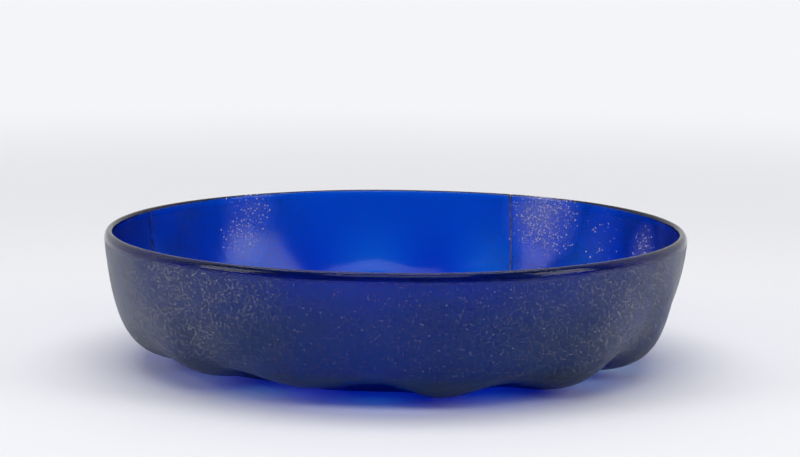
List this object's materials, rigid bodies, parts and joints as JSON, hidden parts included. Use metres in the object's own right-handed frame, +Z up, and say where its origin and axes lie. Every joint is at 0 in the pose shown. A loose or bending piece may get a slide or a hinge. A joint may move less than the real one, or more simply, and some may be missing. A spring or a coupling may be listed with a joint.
{
  "type": "lobed glass dish",
  "caption": "Shallow round dish of blue glass with a softly lobed wall, a thin rounded rim and a flat base, mended along a break. Holds food, fruit or small goods.",
  "frame": {"origin": "centre of the flat base, on the surface the dish stands on, under the centre of the round rim", "axes": "+Z up through the open mouth, -Y to the front of the dish as pictured, +X to its right; the mended sherd is in the +Y wall"},
  "size_m": [0.16, 0.16, 0.037],
  "materials": {
    "cobalt_glass": "translucent deep blue, weathered satin skin with fine pits",
    "adhesive": "dull dark brown restoration adhesive"
  },
  "bodies": {
    "root": {"main_sherd": "cobalt_glass", "back_sherd": "cobalt_glass", "adhesive_seam": "adhesive"}
  },
  "joints": []
}
